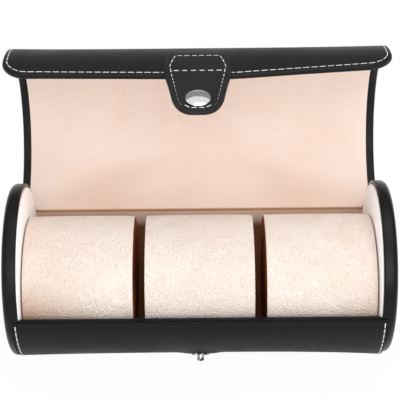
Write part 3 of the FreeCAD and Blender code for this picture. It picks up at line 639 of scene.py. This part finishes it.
# strips and the tab follow a line drawn in side view
def smoothLine(corners, step=0.25):
    # a rounded line through a few side-view points
    line = [Vector(corners[0])]
    for number in range(len(corners) - 1):
        before = Vector(corners[max(number - 1, 0)])
        first, second = Vector(corners[number]), Vector(corners[number + 1])
        after = Vector(corners[min(number + 2, len(corners) - 1)])
        count = max(2, round((second - first).length / step))
        for part in range(1, count + 1):
            t = part / count
            line.append(0.5 * (2 * first + (second - before) * t
                               + (2 * before - 5 * first + 4 * second - after) * t * t
                               + (3 * first - before - 3 * second + after) * t * t * t))
    return line


class SideLine:
    # gives the place at a distance along a side-view line, and at a height off its left-hand side
    def __init__(self, line):
        self.line = line
        self.lengths = [0.0]
        for first, second in zip(line, line[1:]):
            self.lengths.append(self.lengths[-1] + (second - first).length)
        self.total = self.lengths[-1]

    def at(self, distance, height=0.0):
        number = 0
        while number < len(self.line) - 2 and self.lengths[number + 1] < distance:
            number += 1
        first, second = self.line[number], self.line[number + 1]
        span = self.lengths[number + 1] - self.lengths[number]
        place = first + (second - first) * ((distance - self.lengths[number]) / span)
        ahead = self.line[min(number + 2, len(self.line) - 1)] - self.line[max(number - 1, 0)]
        side = Vector((-ahead[1], ahead[0])).normalized()
        place = place + side * height
        return place[0], place[1]


# lid lining: one sheet, from a crease on the tray's back rim, over the hinge and round inside the lid
lidBed = {"gap": 0.15, "wall": 0.6, "round": 0.25, "radius": 46.85, "start": -82.0, "turn": 1.5,
          "neckHalf": 92.85, "neckTo": 2.9, "wideFrom": 3.9, "fineTo": 7.0, "fineStrip": 0.45,
          "tongue": [(43.6, 44.5), (43.8, 44.95), (44.3, 45.25), (45.5, 45.55), (46.8, 45.76), (47.9, 45.88)],
          "blendStart": (0, 0.0442, 0.0450), "blendEnd": (0, 0.0469, 0.0474)}


def makeLidLining():
    turns = [lidBed["start"] + number * lidBed["turn"] for number in range(200)]
    turns = [turn for turn in turns if turn < lid["lip"] + 1]
    arc = [Vector(around(lid["centre"], lidBed["radius"], turn)) for turn in turns]
    way = SideLine(smoothLine(lidBed["tongue"] + [tuple(arc[0])]) + arc[1:])
    half = lid["halfLength"] - lid["turned"] - lidBed["gap"]
    overshoot = math.radians(turns[-1] - lid["lip"]) * lidBed["radius"]
    reach = way.total - lid["turned"] - lidBed["gap"] - overshoot
    piece = addSheet("lidLining", (-90, 0), (90, reach))
    cutAt(piece, [lidBed["neckTo"], lidBed["wideFrom"]], (0, 1, 0))
    setWidths(piece, ((0, lidBed["neckHalf"]), (lidBed["neckTo"], lidBed["neckHalf"]),
                      (lidBed["wideFrom"], half), (reach, half)))
    roundLip(piece, reach, lid["corner"] - lid["turned"])
    thicken(piece, lidBed["wall"], -1)
    roundEdges(piece, lidBed["round"], 3, lambda a, b: same(a.z, b.z) and min(a.z, b.z) > -0.1)
    fine = evenly(0.5, lidBed["fineTo"], lidBed["fineStrip"])
    cutAt(piece, fine + evenly(lidBed["fineTo"], reach, lid["strip"]), (0, 1, 0))
    cutAt(piece, evenly(9 - half, half - 9, lid["column"]), (1, 0, 0))
    movePoints(piece, lambda at: (at.x,) + way.at(at.y - curlBack(at.x, at.y / reach), at.z))
    outward(piece)
    smooth(piece, 40)
    finishPiece(piece, lidSuede, None, "lining", "lid_lining")
    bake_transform(piece)


makeLidLining()

# hinge: leather outside bends with the lid, and the tray's lining rises to the crease
hinge = {"outsideLine": [(58.2, 43.5), (53.3, 42.45), (49.2, 42.0), (47.5, 41.75), (47.05, 41.0),
                         (46.95, 39.2), (46.45, 35.0), (44.9, 29.5)],
         "outsideHalf": 97.0, "outsideWall": 0.7, "outsideStrip": 0.6, "outsideRound": 0.25,
         "insideLine": [(42.3, 36.5), (42.32, 40.5), (42.35, 43.0), (42.5, 44.2), (42.8, 44.85),
                        (43.15, 45.0), (43.42, 44.85), (43.55, 44.5)],
         "insideHalf": 92.85, "insideWall": 0.5, "insideStrip": 0.4, "insideRound": 0.2,
         "blendStart": (0, 0.0469, 0.0396), "blendEnd": (0, 0.0498, 0.0425)}


def makeStrip(name, word):
    half, wall, step, turn = [hinge[word + key] for key in ("Half", "Wall", "Strip", "Round")]
    line = SideLine(smoothLine(hinge[word + "Line"]))
    piece = addPanel(name, (-half, 0, -wall), (half, line.total, 0))
    roundEdges(piece, turn, 2, lambda a, b: min(a.z, b.z) > -0.01)
    cutAt(piece, evenly(turn, line.total - turn, step), (0, 1, 0))
    movePoints(piece, lambda at: (at.x,) + line.at(at.y, at.z))
    outward(piece)
    smooth(piece, 50)
    return piece


hingeOutside = makeStrip("hingeLeather", "outside")
hingeInside = makeStrip("hingeLining", "inside")
finishPiece(hingeOutside, edgeLeather, None, "leather", "hinge_leaf_tray", "hinge_leaf_lid", "hinge_fold")
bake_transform(hingeOutside)
finishPiece(hingeInside, hingeSuede, "tray", "lining")

# tab: one leather tongue sewn to the lid, free beyond the fold, with its seam's margins
stitch = {"length": 3.6, "pitch": 4.3, "width": 0.7, "thick": 0.6, "round": 0.22, "dip": 0.42, "raised": 0.08,
          "lidInset": 2.5, "lidFrom": 6.0, "trayAt": 95.0, "tabInset": 3.7, "tabPitch": 3.8, "tabLength": 2.9,
          "crossBehind": 4.9, "crossHalf": 13.2}
tab = {"fold": 21.5, "free": 31.0, "wall": 2.2, "lift": 0.05, "backHalf": 14.8, "corner": 5.0, "wideAt": 13.0,
       "wideHalf": 18.1, "wideCorner": 6.0, "taperAt": 46.2, "taperHalf": 12.4, "noseHalf": 7.0,
       "noseCorner": 5.2, "edgeRound": 0.8, "snap": 20.8, "snapHole": 2.95, "foldBend": 2.6,
       "foldPlace": (31.465, 142.412), "curve": 80.0, "curveCentre": (15.848, 63.951), "curveStart": 78.743,
       "seamWidth": 0.8, "seamSink": 0.12, "step": 1.3}
tabEnd = tab["fold"] + tab["free"]


def arcPlaces(centre, radius, first, last, parts):
    return [around(centre, radius, first + (last - first) * number / parts) for number in range(parts + 1)]


def tabLine():
    # along the lid's skin from the back of the tab, over the fold, then down the tab's own gentle curve
    outside = lid["outer"] + tab["lift"]
    foldAngle = math.degrees(math.atan2(*[tab["foldPlace"][axis] - lid["centre"][axis] for axis in (1, 0)]))
    back, front = [foldAngle - math.degrees(reach / outside) for reach in (tab["fold"], tab["foldBend"])]
    line = [Vector(place) for place in arcPlaces(lid["centre"], outside, back, front, 60)]
    ends = (tab["foldBend"], tab["free"] + 1)
    first, last = [tab["curveStart"] + math.degrees(reach / tab["curve"]) for reach in ends]
    nose = arcPlaces(tab["curveCentre"], tab["curve"] - tab["wall"] / 2, first, last, 60)
    nose = [Vector(place) for place in nose]
    span = (nose[0] - line[-1]).length
    leave, meet = (line[-1] - line[-2]).normalized() * span, (nose[1] - nose[0]).normalized() * span
    for number in range(1, 12):
        t = number / 12
        line.append(line[60] * (2 * t ** 3 - 3 * t ** 2 + 1) + leave * (t ** 3 - 2 * t ** 2 + t)
                    + nose[0] * (3 * t ** 2 - 2 * t ** 3) + meet * (t ** 3 - t ** 2))
    return SideLine(line + nose)


tabWay = tabLine()
tabBlend = [tabWay.at(tab["fold"] + side * tab["foldBend"]) for side in (-1, 1)]
tabBlend = [(0, mm * y, mm * z) for y, z in tabBlend]


def ontoTab(point):
    return (point[0],) + tabWay.at(point[1], -point[2])


def makeTab():
    rows = ((0, tab["backHalf"], tab["corner"]), (tab["wideAt"], tab["wideHalf"], tab["wideCorner"]),
            (tab["taperAt"], tab["taperHalf"], tab["noseCorner"]),
            (tabEnd, tab["noseHalf"], tab["noseCorner"]))
    piece = addSheet("tabSkin", (-20, 0), (20, tabEnd))
    cutAt(piece, [tab["wideAt"], tab["taperAt"]], (0, 1, 0))
    setWidths(piece, [row[:2] for row in rows])
    for place, half, corner in rows:
        roundCorners(piece, corner * 0.75, 6, lambda at: max(abs(at.y - place), abs(abs(at.x) - half)) < 0.1)
    thicken(piece, tab["wall"], 1)
    roundEdges(piece, tab["edgeRound"], 3, lambda a, b: same(a.z, b.z))
    # the seam pulls the skin down in a shallow channel, and the middle stays full
    pick(piece, "FACE", lambda middle, normal: normal.z > 0.99)
    inset(stitch["tabInset"] - tab["edgeRound"] - tab["seamWidth"])
    inset(tab["seamWidth"], -tab["seamSink"])
    inset(tab["seamWidth"], tab["seamSink"])
    # the snap's shank goes through here, under the cap
    deselectAll()
    bpy.ops.mesh.primitive_cylinder_add(vertices=32, radius=tab["snapHole"] * mm, depth=12 * mm,
                                        location=(0, (tab["fold"] + tab["snap"]) * mm, 0))
    punch = bpy.context.object
    addModifier(piece, "BOOLEAN", object=punch, operation="DIFFERENCE", solver="EXACT")
    bpy.data.objects.remove(punch)
    cutAt(piece, evenly(0, tabEnd, tab["step"]), (0, 1, 0))
    movePoints(piece, ontoTab)
    outward(piece)
    smooth(piece, 45)
    finishPiece(piece, tabLeather, None, "leather", "tab_anchor", "tab_fold", "tab_leather", "tab_backing")
    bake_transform(piece)


makeTab()

# stitching: one saddle stitch, copied along each seam
def makeStitch(name, length):
    deselectAll()
    bpy.ops.mesh.primitive_cylinder_add(vertices=8, radius=stitch["width"] / 2 * mm, depth=length * mm,
                                        rotation=(0, math.pi / 2, 0))
    piece = nameNew(name)
    roundEdges(piece, stitch["round"], 2, lambda a, b: same(a.x, b.x))
    squashed = stitch["thick"] / stitch["width"]
    # both ends dive into the leather
    movePoints(piece, lambda at: (at.x, at.y, at.z * squashed - stitch["dip"] * abs(2 * at.x / length) ** 3))
    outward(piece)
    smooth(piece, 60)
    return piece


def seamPlaces(flat, place, pitch, top):
    # even places along a line drawn on the flat skin, each with the frame of the bent skin there
    line = [Vector(point) for point in flat]
    lengths = [0.0]
    for first, second in zip(line, line[1:]):
        lengths.append(lengths[-1] + (second - first).length)

    def at(distance):
        distance = min(max(distance, 0), lengths[-1])
        number = max(n for n in range(len(line) - 1) if lengths[n] <= distance)
        share = (distance - lengths[number]) / (lengths[number + 1] - lengths[number])
        return line[number].lerp(line[number + 1], share)
    count = round(lengths[-1] / pitch)
    spots = []
    for number in range(count):
        distance = lengths[-1] * (number + 0.5) / count
        middle, before, after = at(distance), at(distance - 0.5), at(distance + 0.5)
        origin = Vector(place((middle.x, middle.y, top)))
        normal = (Vector(place((middle.x, middle.y, top + 1))) - origin).normalized()
        along = Vector(place((after.x, after.y, top))) - Vector(place((before.x, before.y, top)))
        along.normalize()
        across = normal.cross(along).normalized()
        frameThere = Matrix((along, across, normal)).transposed().to_4x4()
        frameThere.translation = (origin + normal * stitch["raised"]) * mm
        spots.append(frameThere)
    return spots


def sewSeam(name, template, body, spots):
    copies = []
    for spot in spots:
        copy = template.copy()
        copy.data = template.data.copy()
        copy.data.transform(spot)
        bpy.context.scene.collection.objects.link(copy)
        copies.append(copy)
    activate(copies[0])
    for copy in copies:
        copy.select_set(True)
    bpy.ops.object.join()
    seam = nameNew(name)
    print(name, "sewn,", len(copies), "stitches")
    finishPiece(seam, thread, body, "leather")
    return seam


longStitch = makeStitch("longStitch", stitch["length"])
shortStitch = makeStitch("shortStitch", stitch["tabLength"])

# round the lid: up one side, across the lip, down the other
seamHalf, seamReach = lid["halfLength"] - stitch["lidInset"], lidReach - stitch["lidInset"]
seamCorner = lid["corner"] - stitch["lidInset"]
lidPath = ([(-seamHalf, stitch["lidFrom"])]
           + arcPlaces((-seamHalf + seamCorner, seamReach - seamCorner), seamCorner, 180, 90, 8)
           + arcPlaces((seamHalf - seamCorner, seamReach - seamCorner), seamCorner, 90, 0, 8)
           + [(seamHalf, stitch["lidFrom"])])
sewSeam("lidSeam", longStitch, "lid", seamPlaces(lidPath, ontoLid, stitch["pitch"], lidWall))

# beside each end of the tray, front and back, as far as the sole
sole = math.degrees(math.asin(tray["height"] / tray["radius"]))
for side, word in ((-1, "Left"), (1, "Right")):
    for first, last, end in ((tray["creaseAt"] - 1.6, alongTray(180 + sole) - 2.5, "Front"),
                             (alongTray(360 - sole) + 2.5, trayReach - 6.5, "Back")):
        path = [(side * stitch["trayAt"], first), (side * stitch["trayAt"], last)]
        sewSeam("traySeam" + end + word, longStitch, "tray",
                seamPlaces(path, ontoTray, stitch["pitch"], tray["rimWall"]))


def tabPath():
    # follows the tab's outline, one stitch margin in
    margin = stitch["tabInset"]
    half = smoothLine([(tab["backHalf"] - margin * 0.9, margin),
                       (tab["wideHalf"] - margin - 0.4, tab["wideAt"] - 1.5),
                       (tab["wideHalf"] - margin - 0.6, tab["wideAt"] + 4.0),
                       (tab["taperHalf"] - margin + 1.0, tab["taperAt"] - 2.5),
                       (tab["noseHalf"] - 1.0, tabEnd - margin - 1.5), (3.2, tabEnd - margin)], 0.5)
    return half + [Vector((-point.x, point.y)) for point in reversed(half)] + half[:1]


tabSpots = seamPlaces(tabPath(), ontoTab, stitch["tabPitch"], tab["wall"] - tab["seamSink"])
crossPath = [(x, tab["fold"] - stitch["crossBehind"]) for x in (-stitch["crossHalf"], stitch["crossHalf"])]
tabSpots += seamPlaces(crossPath, ontoTab, stitch["pitch"], tab["wall"])
tabSeam = sewSeam("tabSeam", shortStitch, None, tabSpots)
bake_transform(tabSeam)
for template in (longStitch, shortStitch):
    bpy.data.objects.remove(template)

# pillows: suede over foam, crisp at the edges, a little full between them
pillow = {"halfDepth": 35.5, "halfHeight": 31.35, "centre": (-4.5, 38.65), "half": 28.6, "pitch": 63.2,
          "edge": 0.7, "draw": 0.35, "points": 96, "strip": 2.7, "ring": 3.6, "rings": 8, "fill": 0.55,
          "floor": 7.15, "pressure": 3.0, "swell": 0.5, "frames": 14}


def makePillow():
    half = pillow["half"]
    piece = addDisc("pillow2", pillow["halfDepth"], -half, half, 0, pillow["points"])
    squashed = pillow["halfHeight"] / pillow["halfDepth"]
    for side in (-1, 1):
        pick(piece, "FACE", lambda middle, normal: normal.x * side > 0.99)
        for number in range(pillow["rings"]):
            inset(pillow["ring"])
    roundEdges(piece, pillow["edge"], 3, lambda a, b: same(a.x, b.x)
               and min(math.hypot(a.y, a.z), math.hypot(b.y, b.z)) > pillow["halfDepth"] - 0.1)
    cutAt(piece, evenly(-half + 2.4, half - 2.4, pillow["strip"]), (1, 0, 0))

    def shape(at):
        # the wrap draws in towards the cheeks, most at the very edge
        inside = 1 - pillow["draw"] / pillow["halfDepth"] * abs(at.x / half) ** 4
        return (at.x, pillow["centre"][0] + at.y * inside, pillow["centre"][1] + at.z * squashed * inside)
    movePoints(piece, shape)
    outward(piece)
    return piece


def stuff(piece):
    # the stuffing presses the cover out between its edges, which stay where they are sewn
    start = [point.co.copy() for point in piece.data.vertices]
    edges = piece.vertex_groups.new(name="edges")
    held = [point.index for point in piece.data.vertices
            if abs(abs(point.co.x / mm) - pillow["half"]) < pillow["edge"] + 0.3
            and math.hypot((point.co.y / mm - pillow["centre"][0]) / pillow["halfDepth"],
                           (point.co.z / mm - pillow["centre"][1]) / pillow["halfHeight"]) > 0.93]
    edges.add(held, 1.0, "REPLACE")
    cloth = piece.modifiers.new("Cloth", "CLOTH")
    cloth.settings.quality = 6
    cloth.settings.mass = 0.2
    cloth.settings.use_pressure = True
    cloth.settings.uniform_pressure_force = pillow["pressure"]
    cloth.settings.vertex_group_mass = "edges"
    cloth.settings.effector_weights.gravity = 0
    scene = bpy.context.scene
    for number in range(1, pillow["frames"] + 1):
        scene.frame_set(number)
    activate(piece)
    bpy.ops.object.modifier_apply(modifier="Cloth")
    scene.frame_set(1)
    piece.vertex_groups.clear()
    largest = max((point.co - first).length for point, first in zip(piece.data.vertices, start)) / mm
    limit = pillow["swell"] / max(largest, 0.01)
    for point, first in zip(piece.data.vertices, start):
        point.co = first + (point.co - first) * min(1.0, limit)
    print("pillow stuffed, swelled", round(largest, 2), "mm before its limit")


def makePillows():
    first = makePillow()
    stuff(first)
    movePoints(first, lambda at: (at.x, at.y, max(at.z, pillow["floor"])))
    addModifier(first, "SUBSURF", levels=1, render_levels=1)
    smooth(first, 60)
    first.data.materials.append(pillowSuede)
    first.data.materials.append(cheekSuedePaintedShade)
    # the side faces take the brown cheek finish, painted shade for the gaps
    for face in first.data.polygons:
        if abs(face.normal.x) > 0.8:
            face.material_index = 1
    pieces = [first.copy(), first, first.copy()]
    for place, piece in zip((-1, 1), pieces[::2]):
        piece.data = first.data.copy()
        bpy.context.scene.collection.objects.link(piece)
        piece.data.transform(Matrix.Translation((place * pillow["pitch"] * mm, 0, 0)))
    for number, piece in enumerate(pieces, start=1):
        piece.name = "pillow%d" % number
        piece.data.name = piece.name
        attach(piece, "pillow_%d" % number)
        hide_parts("cushion_cover_%d" % number)
    print("pillows ready,", len(first.data.polygons), "faces each")


makePillows()

# the solids that stay keep their shape and get their real finish
finishes = {"trough_board": board, "base_plate": panel, "end_board_left": board, "end_board_right": board,
            "snap_stud": studSteelPaintedReflection, "stud_rivet": steel, "snap_cap": steel, "snap_socket": steel}
for number in (1, 2, 3):
    finishes["cushion_core_%d" % number] = foam
    finishes["cushion_cheeks_%d" % number] = board
for name, material in finishes.items():
    node = nodes[name]
    for holder in node.material_slots:
        holder.material = material
    if not node.material_slots:
        node.data.materials.append(material)
print("solids dressed")

# table, light and camera
studio = {"floorSize": 4.0, "floor": "#f6f6f6", "whiteShare": 0.96, "mirrorShare": 0.3, "worldFill": 0.78,
          "wall": 0.34, "wallTop": (0.66, 0.69), "wallFoot": (0.16, 0.3), "wallShare": 0.4,
          "keyPower": 4.1, "keySize": 0.9, "keyPlace": (0.25, 0.0, 1.2), "keyAim": (0, 0, 0.06),
          "frontPower": 8.8, "frontSize": 1.0, "frontPlace": (0.15, -1.1, 0.9), "frontAim": (0, 0, 0.08),
          "cameraPlace": (0.0005, -0.4983, 0.5022), "pitch": 39.71, "roll": -0.55, "lens": 112.5,
          "sensor": 36}


def whiteTable():
    # seamless paper: white to the camera and in part in reflections, but it keeps the case's shadow
    material, tree, shader, place = startMaterial("studioPaper", 0.9, Specular_IOR_Level=0.1)
    shader.inputs["Base Color"].default_value = toLinear(studio["floor"])
    path = addNode(tree, "ShaderNodeLightPath")
    mirrored = ramp(tree, path.outputs["Is Glossy Ray"], 0.0, 1.0, 0.0, studio["mirrorShare"])
    share = maths(tree, "MULTIPLY", maths(tree, "MAXIMUM", path.outputs["Is Camera Ray"], mirrored),
                  studio["whiteShare"])
    white = addNode(tree, "ShaderNodeEmission", {"Color": (1, 1, 1, 1), "Strength": 1.0}).outputs[0]
    mixed = addNode(tree, "ShaderNodeMixShader", {0: share, 1: shader.outputs[0], 2: white}).outputs[0]
    tree.links.new(mixed, tree.nodes["Material Output"].inputs["Surface"])
    deselectAll()
    bpy.ops.mesh.primitive_plane_add(size=studio["floorSize"], location=(0, 0, -0.0001))
    floor = bpy.context.object
    floor.name = "studioFloor"
    floor.data.materials.append(material)


def lightRoom():
    world = bpy.data.worlds.new("studioLight")
    bpy.context.scene.world = world
    world.use_nodes = True
    tree = world.node_tree
    ground = tree.nodes["Background"]
    path = addNode(tree, "ShaderNodeLightPath").outputs
    seen = maths(tree, "MAXIMUM", maths(tree, "MAXIMUM", path["Is Camera Ray"], path["Is Glossy Ray"]),
                 path["Is Transmission Ray"])
    # polished faces see a grey wall low behind the table
    way = addNode(tree, "ShaderNodeTexCoord").outputs["Generated"]
    axes = addNode(tree, "ShaderNodeSeparateXYZ", {"Vector": way}).outputs
    above = ramp(tree, axes["Z"], *studio["wallTop"])
    below = ramp(tree, axes["Z"], *studio["wallFoot"], studio["wallShare"], 0.0)
    front = ramp(tree, axes["Y"], 0.0, 0.1, 1.0, 0.0)
    bright = maths(tree, "MAXIMUM", maths(tree, "MAXIMUM", above, below), front)
    clear = maths(tree, "MAXIMUM", bright, maths(tree, "SUBTRACT", 1.0, path["Is Glossy Ray"]))
    shade = mixColours(tree, clear, (studio["wall"],) * 3 + (1,), (1, 1, 1, 1))
    tree.links.new(shade, ground.inputs["Color"])
    tree.links.new(ramp(tree, seen, 0.0, 1.0, studio["worldFill"]), ground.inputs["Strength"])
    for word in ("key", "front"):
        lamp = bpy.data.lights.new(word + "Softbox", "AREA")
        lamp.energy = studio[word + "Power"]
        lamp.size = studio[word + "Size"]
        holder = bpy.data.objects.new(word + "Softbox", lamp)
        bpy.context.scene.collection.objects.link(holder)
        holder.location = studio[word + "Place"]
        aim = Vector(studio[word + "Aim"]) - holder.location
        holder.rotation_euler = aim.to_track_quat("-Z", "Y").to_euler()


def placeCamera():
    camera = bpy.data.objects.new("camera", bpy.data.cameras.new("camera"))
    bpy.context.scene.collection.objects.link(camera)
    camera.location = studio["cameraPlace"]
    camera.rotation_euler = (math.radians(90 - studio["pitch"]), 0, 0)
    camera.rotation_euler.rotate_axis("Z", math.radians(studio["roll"]))
    camera.data.lens = studio["lens"]
    camera.data.sensor_width = studio["sensor"]
    bpy.context.scene.camera = camera


whiteTable()
lightRoom()
placeCamera()
bpy.context.scene.view_settings.view_transform = "Standard"

print("scene made")
